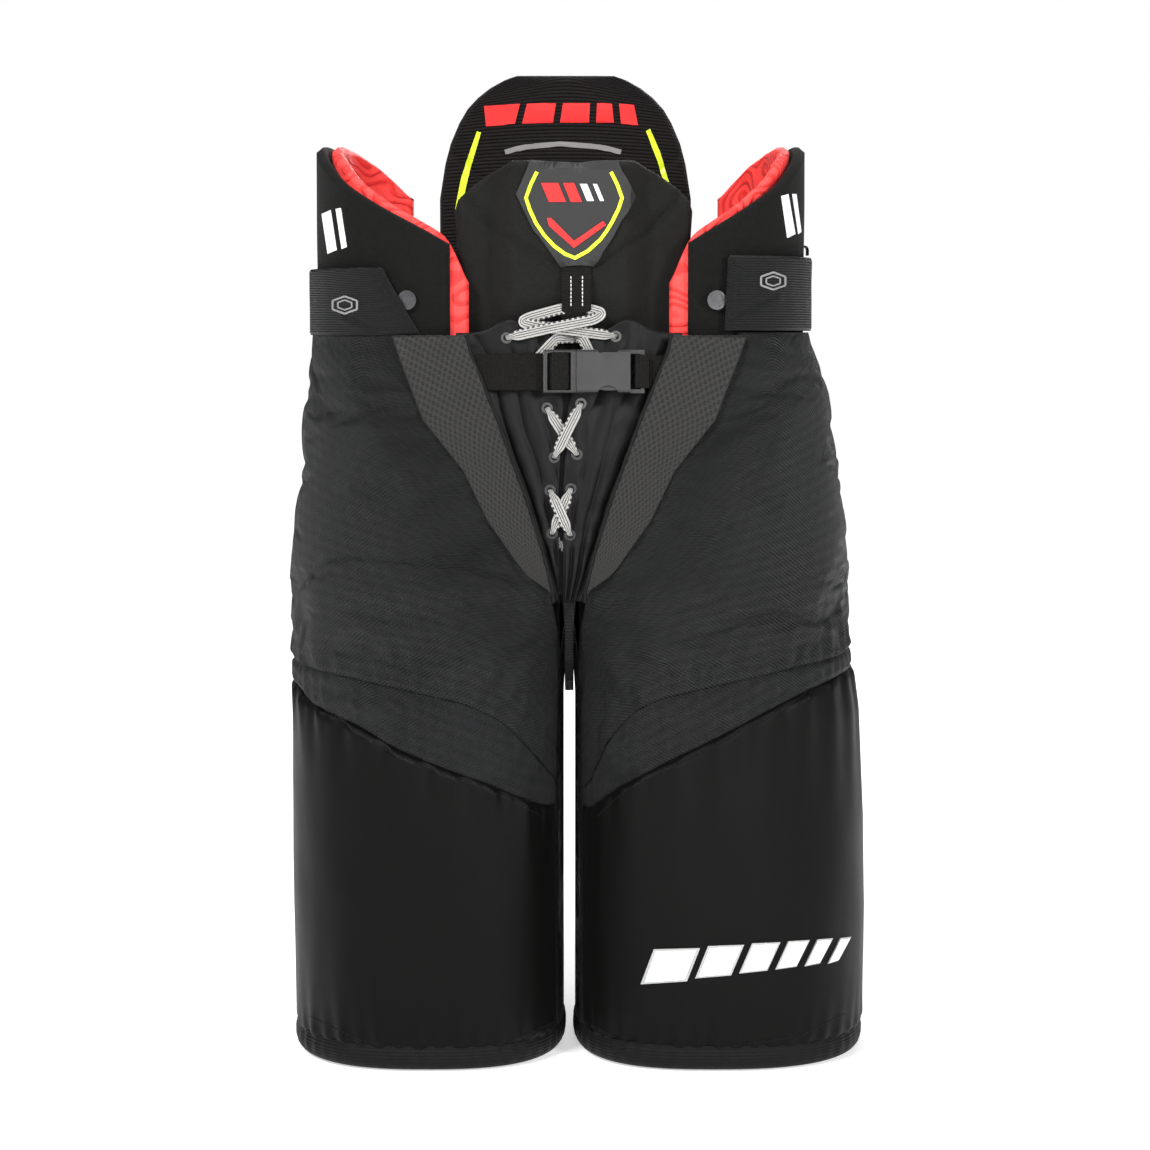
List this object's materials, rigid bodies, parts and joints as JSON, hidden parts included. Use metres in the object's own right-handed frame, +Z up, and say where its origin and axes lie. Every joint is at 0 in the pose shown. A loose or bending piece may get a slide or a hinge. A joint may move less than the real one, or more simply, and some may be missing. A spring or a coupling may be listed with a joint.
{
  "type": "hockey pants",
  "caption": "Padded ice hockey player pants: lace-up hip shell with a buckled belt, hip, belly and spine pads on an inner belt, and two hinged thigh tubes.",
  "frame": {"origin": "middle of the whole box, on the surface that the hems stand on", "axes": "+Z up towards the waist, -Y the wearer's front, +X the wearer's left"},
  "size_m": [0.4028, 0.2458, 0.689],
  "materials": {
    "shell_nylon": "woven nylon, semi-matt",
    "cover_nylon": "tight woven nylon with a satin sheen",
    "vent_mesh": "open warp-knit mesh",
    "foam": "closed-cell foam in a thin nylon sleeve",
    "lining": "smooth taffeta",
    "pe_plate": "moulded polyethylene",
    "black_knit": "brushed loop knit",
    "red_knit": "embossed tricot",
    "belly_knit": "heathered knit",
    "spine_knit": "horizontally ribbed knit",
    "ribbed_nylon": "ribbed nylon",
    "hook_tape": "hook tape",
    "webbing": "ribbed polyester webbing",
    "lace_cord": "flat woven lace with dark tracer lines",
    "eyelet_metal": "black enamel",
    "button_metal": "pressed steel",
    "badge_rubber": "moulded soft rubber, matt",
    "buckle_plastic": "moulded acetal with fine texture"
  },
  "bodies": {
    "shell": {"right_front_panel": "shell_nylon", "left_front_panel": "shell_nylon", "right_back_panel": "shell_nylon", "left_back_panel": "shell_nylon", "right_mesh_panel": "vent_mesh", "left_mesh_panel": "vent_mesh", "right_fly_panel": "shell_nylon", "left_fly_panel": "shell_nylon", "right_hip_foam": "foam", "left_hip_foam": "foam", "right_seat_foam": "foam", "left_seat_foam": "foam", "eyelets": "eyelet_metal", "fly_tongue": "belly_knit", "crotch_gusset": "shell_nylon", "belly_pad": "belly_knit", "belly_badge": "badge_rubber", "lace_keeper": "webbing", "left_belt_webbing": "webbing", "buckle_housing": "buckle_plastic", "lace": "lace_cord"},
    "inner_belt": {"inner_belt": "webbing"},
    "spine_pad": {"spine_pad_back": "spine_knit", "tailbone_plate": "pe_plate", "spine_pad_front": "spine_knit"},
    "buckle_insert": {"buckle_insert": "buckle_plastic", "right_belt_webbing": "webbing"},
    "buckle_prong_upper": {"buckle_prong_upper": "buckle_plastic"},
    "buckle_prong_lower": {"buckle_prong_lower": "buckle_plastic"},
    "right_leg": {"right_hem_binding": "shell_nylon", "right_thigh_cover": "cover_nylon", "right_yoke_band": "shell_nylon", "right_groin_panel": "shell_nylon", "right_rear_leg_panel": "shell_nylon", "right_thigh_plate": "pe_plate", "right_thigh_foam": "foam", "right_rear_foam": "foam", "right_leg_lining": "lining"},
    "right_hip_pad": {"right_hip_pad": "black_knit", "right_hip_plate": "pe_plate", "right_hip_pad_lining": "red_knit", "right_suspender_buttons": "button_metal"},
    "right_tab": {"right_extension_tab": "ribbed_nylon", "right_hook_patch": "hook_tape"},
    "left_leg": {"left_hem_binding": "shell_nylon", "left_thigh_cover": "cover_nylon", "left_yoke_band": "shell_nylon", "left_groin_panel": "shell_nylon", "left_rear_leg_panel": "shell_nylon", "left_thigh_plate": "pe_plate", "left_thigh_foam": "foam", "left_rear_foam": "foam", "left_leg_lining": "lining"},
    "left_hip_pad": {"left_hip_pad": "black_knit", "left_hip_plate": "pe_plate", "left_hip_pad_lining": "red_knit", "left_suspender_buttons": "button_metal", "left_pull_loop": "webbing"},
    "left_tab": {"left_extension_tab": "ribbed_nylon", "left_hook_patch": "hook_tape"}
  },
  "joints": [
    {"name": "right_leg_swing", "type": "hinge", "parent": "shell", "child": "right_leg", "pos_m": [-0.105, -0.12155, 0.329], "axis": [-1, 0, 0], "range_deg": [0, 40]},
    {"name": "left_leg_swing", "type": "hinge", "parent": "shell", "child": "left_leg", "pos_m": [0.105, -0.12155, 0.329], "axis": [-1, 0, 0], "range_deg": [0, 40]},
    {"name": "length_adjust", "type": "slide", "parent": "shell", "child": "inner_belt", "axis": [0, 0, 1], "range_m": [0, 0.0254]},
    {"name": "right_hip_pad_fold", "type": "hinge", "parent": "inner_belt", "child": "right_hip_pad", "pos_m": [-0.09983, -0.00457, 0.472], "axis": [-0.2531, 0.9674, 0], "range_deg": [0, 7], "stiffness_Nm_per_rad": 3, "springref_deg": -6.88},
    {"name": "left_hip_pad_fold", "type": "hinge", "parent": "inner_belt", "child": "left_hip_pad", "pos_m": [0.08424, -0.00454, 0.472], "axis": [-0.2282, -0.9736, 0], "range_deg": [0, 7], "stiffness_Nm_per_rad": 3, "springref_deg": -6.88},
    {"name": "spine_pad_fold", "type": "hinge", "parent": "inner_belt", "child": "spine_pad", "pos_m": [-0.00648, 0.09815, 0.472], "axis": [1, 0, 0], "range_deg": [0, 10], "stiffness_Nm_per_rad": 3, "springref_deg": -6.88},
    {"name": "right_tab_peel", "type": "hinge", "parent": "shell", "child": "right_tab", "pos_m": [-0.18438, -0.04382, 0.504], "axis": [0.3827, -0.9239, 0], "range_deg": [0, 110]},
    {"name": "left_tab_peel", "type": "hinge", "parent": "shell", "child": "left_tab", "pos_m": [0.16079, -0.04164, 0.507], "axis": [0.3453, 0.9385, 0], "range_deg": [0, 110]},
    {"name": "buckle_release", "type": "slide", "parent": "shell", "child": "buckle_insert", "axis": [-1, 0, 0], "range_m": [0, 0.028]},
    {"name": "upper_prong_squeeze", "type": "hinge", "parent": "buckle_insert", "child": "buckle_prong_upper", "pos_m": [-0.00148, -0.11109, 0.48666], "axis": [0, 0.9969, -0.0793], "range_deg": [0, 8], "stiffness_Nm_per_rad": 0.02, "springref_deg": -2.86},
    {"name": "lower_prong_squeeze", "type": "hinge", "parent": "buckle_insert", "child": "buckle_prong_lower", "pos_m": [-0.00148, -0.11272, 0.46612], "axis": [0, -0.9969, 0.0793], "range_deg": [0, 8], "stiffness_Nm_per_rad": 0.02, "springref_deg": -2.86}
  ],
  "couplings": [
    {"joint": "lower_prong_squeeze", "follows": "upper_prong_squeeze", "ratio": 1}
  ]
}
